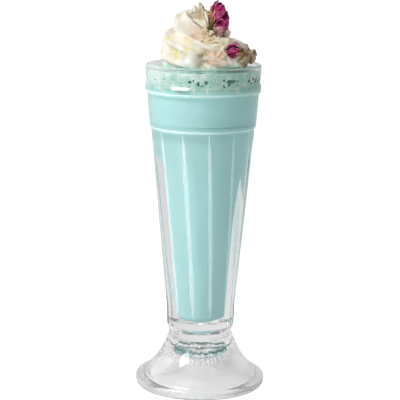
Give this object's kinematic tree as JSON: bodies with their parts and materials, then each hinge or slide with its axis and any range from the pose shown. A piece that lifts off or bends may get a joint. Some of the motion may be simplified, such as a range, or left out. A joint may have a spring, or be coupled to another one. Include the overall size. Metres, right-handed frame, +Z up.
{
  "type": "milkshake in a footed soda glass",
  "caption": "Pale turquoise milkshake in a tall footed soda glass with flat panels, topped with a swirl of whipped cream and dried rosebuds.",
  "frame": {"origin": "centre of the foot's resting ring, on the table", "axes": "+Z up along the glass, -Y towards the shown side, +X to its right"},
  "size_m": [0.0766, 0.0766, 0.226],
  "materials": {
    "glass": "clear pressed glass",
    "milkshake": "opaque creamy liquid",
    "froth": "fine foam with open bubbles",
    "cream": "soft whipped cream",
    "petal": "dry wrinkled petals",
    "sepal": "dry brittle leaf"
  },
  "bodies": {
    "root": {"glass": "glass", "milkshake": "milkshake", "froth": "froth", "whipped_cream": "cream", "rosebud_large": "petal", "rosebud_small": "petal", "calyx_large": "sepal", "calyx_small": "sepal"}
  },
  "joints": []
}
